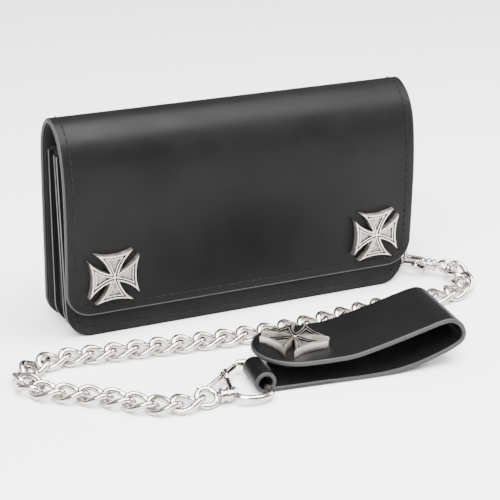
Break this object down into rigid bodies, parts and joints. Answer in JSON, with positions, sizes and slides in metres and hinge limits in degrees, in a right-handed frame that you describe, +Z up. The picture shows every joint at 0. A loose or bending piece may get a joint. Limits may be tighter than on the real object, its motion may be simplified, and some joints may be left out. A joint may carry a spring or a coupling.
{
  "type": "chain wallet",
  "caption": "Long leather wallet with a snap-down flap, two cross conchos, and a link chain that clips to a leather belt loop.",
  "frame": {"origin": "middle of the closed wallet's footprint, on the surface it stands on", "axes": "+X along the wallet, towards the D-ring; +Y from the flap to the back; +Z up"},
  "size_m": [0.2609, 0.1322, 0.108],
  "materials": {
    "black_leather": "smooth semi-gloss",
    "lining_leather": "matt, fine grain",
    "stitching": "waxed thread",
    "zip_tape": "woven",
    "snap_metal": "satin",
    "antique_silver": "antiqued, worn bright on the edges",
    "bright_nickel": "polished"
  },
  "bodies": {
    "wallet": {"back_cover": "black_leather", "back_lining": "lining_leather", "rear_gusset": "lining_leather", "note_divider": "black_leather", "card_pocket_1": "lining_leather", "card_pocket_2": "lining_leather", "card_pocket_3": "lining_leather", "front_gusset": "lining_leather", "pocket_back": "black_leather", "front_panel": "black_leather", "coin_zip": "zip_tape", "snap_studs": "snap_metal", "snap_washers": "snap_metal", "ring_tab": "black_leather", "d_ring": "bright_nickel", "wallet_clasp": "bright_nickel", "fold_strip_1": "black_leather", "fold_strip_2": "black_leather", "fold_strip_3": "black_leather", "chain_links_1": "bright_nickel", "chain_links_2": "bright_nickel", "chain_links_3": "bright_nickel", "chain_links_4": "bright_nickel", "chain_links_5": "bright_nickel", "chain_links_6": "bright_nickel", "belt_clasp": "bright_nickel"},
    "zip_slider": {"zip_slider": "snap_metal", "zip_pull": "snap_metal"},
    "flap": {"fold_strip_4": "black_leather", "fold_strip_5": "black_leather", "flap": "black_leather", "flap_lining": "lining_leather", "concho_left": "antique_silver", "concho_right": "antique_silver", "snap_sockets": "snap_metal"},
    "wallet_gate": {"wallet_clasp_gate": "bright_nickel"},
    "wallet_swivel": {"wallet_swivel": "bright_nickel"},
    "belt_swivel": {"belt_swivel": "bright_nickel"},
    "belt_gate": {"belt_clasp_gate": "bright_nickel"},
    "strap": {"strap_lower": "black_leather", "strap_stud": "snap_metal"},
    "strap_top": {"strap_upper": "black_leather", "strap_socket": "snap_metal", "strap_concho": "antique_silver"}
  },
  "joints": [
    {"name": "flap_hinge", "type": "hinge", "parent": "wallet", "child": "flap", "pos_m": [0, -0.00255, 0.108], "axis": [-1, 0, 0], "range_deg": [0, 150]},
    {"name": "zip_slide", "type": "slide", "parent": "wallet", "child": "zip_slider", "axis": [1, 0, 0], "range_m": [0, 0.138]},
    {"name": "wallet_gate_hinge", "type": "hinge", "parent": "wallet", "child": "wallet_gate", "pos_m": [0.10382, -0.0072, 0.0064], "axis": [0, 0, -1], "range_deg": [0, 14], "stiffness_Nm_per_rad": 0.02, "springref_deg": -22.92},
    {"name": "wallet_swivel_turn", "type": "hinge", "parent": "wallet", "child": "wallet_swivel", "pos_m": [0.1106, -0.0095, 0.0064], "axis": [-0.7034, 0.7108, 0], "range_deg": [-8, 8]},
    {"name": "belt_swivel_turn", "type": "hinge", "parent": "wallet", "child": "belt_swivel", "pos_m": [-0.0503, -0.1036, 0.0042], "axis": [0.9936, -0.1132, 0], "range_deg": [-8, 8]},
    {"name": "belt_gate_hinge", "type": "hinge", "parent": "wallet", "child": "belt_gate", "pos_m": [-0.04374, -0.08576, 0.00533], "axis": [0.0069, 0.0607, -0.9981], "range_deg": [0, 20], "stiffness_Nm_per_rad": 0.02, "springref_deg": -22.92},
    {"name": "strap_pivot", "type": "hinge", "parent": "wallet", "child": "strap", "pos_m": [-0.028, -0.0815, 0.0052], "axis": [-0.1132, -0.9936, 0], "range_deg": [0, 40]},
    {"name": "strap_unsnap", "type": "hinge", "parent": "strap", "child": "strap_top", "pos_m": [0.07108, -0.09279, 0.01714], "axis": [0.1132, 0.9936, 0], "range_deg": [0, 100]}
  ]
}
